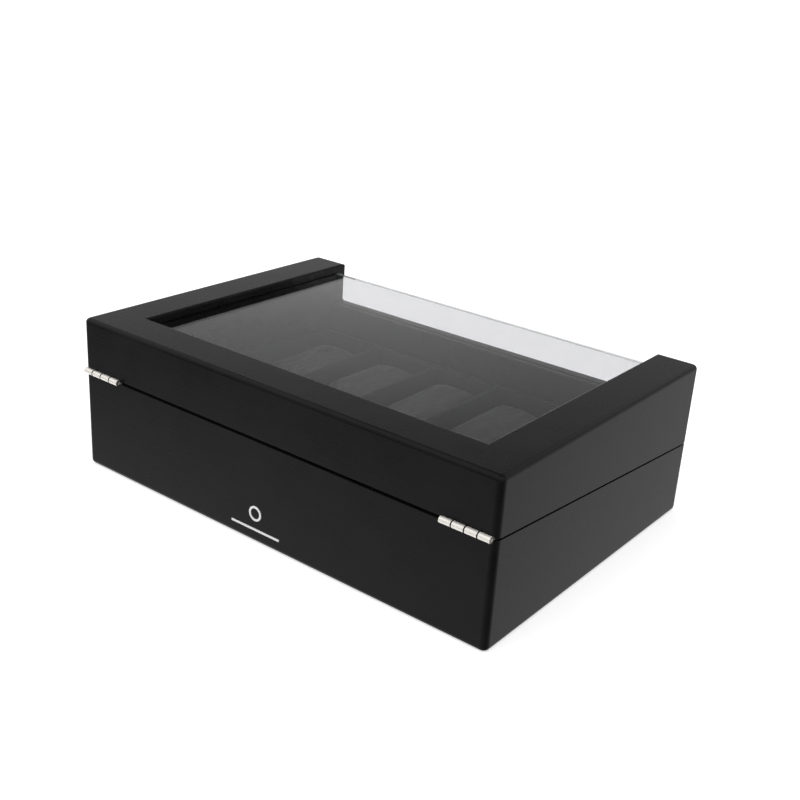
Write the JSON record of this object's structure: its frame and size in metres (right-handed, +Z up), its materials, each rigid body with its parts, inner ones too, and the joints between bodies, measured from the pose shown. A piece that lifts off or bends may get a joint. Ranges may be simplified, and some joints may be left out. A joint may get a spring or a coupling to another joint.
{
  "type": "watch box",
  "caption": "Rectangular wooden watch box with a glazed hinged lid, glass front window and loose cushions in lined compartments.",
  "frame": {"origin": "middle of the underside of the wooden box, between the side walls and between the front and back faces", "axes": "+X to the right seen from the front, along the width; -Y out of the front with the window, +Y out of the back with the hinges; +Z up"},
  "size_m": [0.33, 0.2332, 0.105],
  "materials": {
    "painted_wood": "satin black paint on wood board",
    "lining_fabric": "matt black woven lining",
    "cushion_fabric": "soft black fabric over foam",
    "felt": "black felt",
    "nickel": "bright nickel plate",
    "glass": "clear float glass with ground edges",
    "emblem": "raised white enamel"
  },
  "bodies": {
    "base": {"base_front_wall": "painted_wood", "base_back_wall": "painted_wood", "base_left_wall": "painted_wood", "base_right_wall": "painted_wood", "base_bottom_panel": "painted_wood", "base_felt_sheet": "felt", "floor_lining": "lining_fabric", "front_lining": "lining_fabric", "back_lining": "lining_fabric", "left_lining": "lining_fabric", "right_lining": "lining_fabric", "row_divider": "lining_fabric", "column_divider_1": "lining_fabric", "column_divider_2": "lining_fabric", "column_divider_3": "lining_fabric", "column_divider_4": "lining_fabric", "base_hinge_leaf_left": "nickel", "base_hinge_leaf_right": "nickel", "hinge_pin_left": "nickel", "hinge_pin_right": "nickel", "base_leaf_screws": "nickel", "closing_pads": "felt", "back_emblem": "emblem"},
    "lid": {"lid_left_rail": "painted_wood", "lid_right_rail": "painted_wood", "lid_back_rail": "painted_wood", "lid_front_rail": "painted_wood", "top_glass": "glass", "front_glass": "glass", "lid_hinge_leaf_left": "nickel", "lid_hinge_leaf_right": "nickel", "lid_leaf_screws": "nickel"},
    "cushion_front_1": {"cushion_front_1": "cushion_fabric"},
    "cushion_front_2": {"cushion_front_2": "cushion_fabric"},
    "cushion_front_3": {"cushion_front_3": "cushion_fabric"},
    "cushion_front_4": {"cushion_front_4": "cushion_fabric"},
    "cushion_front_5": {"cushion_front_5": "cushion_fabric"},
    "cushion_back_1": {"cushion_back_1": "cushion_fabric"},
    "cushion_back_2": {"cushion_back_2": "cushion_fabric"},
    "cushion_back_3": {"cushion_back_3": "cushion_fabric"},
    "cushion_back_4": {"cushion_back_4": "cushion_fabric"},
    "cushion_back_5": {"cushion_back_5": "cushion_fabric"}
  },
  "joints": [
    {"name": "lid_hinge", "type": "hinge", "parent": "base", "child": "lid", "pos_m": [0, 0.1162, 0.0691], "axis": [-1, 0, 0], "range_deg": [0, 95]},
    {"name": "cushion_front_1_lift", "type": "slide", "parent": "base", "child": "cushion_front_1", "axis": [0, 0, 1], "range_m": [0, 0.042]},
    {"name": "cushion_front_2_lift", "type": "slide", "parent": "base", "child": "cushion_front_2", "axis": [0, 0, 1], "range_m": [0, 0.042]},
    {"name": "cushion_front_3_lift", "type": "slide", "parent": "base", "child": "cushion_front_3", "axis": [0, 0, 1], "range_m": [0, 0.042]},
    {"name": "cushion_front_4_lift", "type": "slide", "parent": "base", "child": "cushion_front_4", "axis": [0, 0, 1], "range_m": [0, 0.042]},
    {"name": "cushion_front_5_lift", "type": "slide", "parent": "base", "child": "cushion_front_5", "axis": [0, 0, 1], "range_m": [0, 0.042]},
    {"name": "cushion_back_1_lift", "type": "slide", "parent": "base", "child": "cushion_back_1", "axis": [0, 0, 1], "range_m": [0, 0.042]},
    {"name": "cushion_back_2_lift", "type": "slide", "parent": "base", "child": "cushion_back_2", "axis": [0, 0, 1], "range_m": [0, 0.042]},
    {"name": "cushion_back_3_lift", "type": "slide", "parent": "base", "child": "cushion_back_3", "axis": [0, 0, 1], "range_m": [0, 0.042]},
    {"name": "cushion_back_4_lift", "type": "slide", "parent": "base", "child": "cushion_back_4", "axis": [0, 0, 1], "range_m": [0, 0.042]},
    {"name": "cushion_back_5_lift", "type": "slide", "parent": "base", "child": "cushion_back_5", "axis": [0, 0, 1], "range_m": [0, 0.042]}
  ]
}
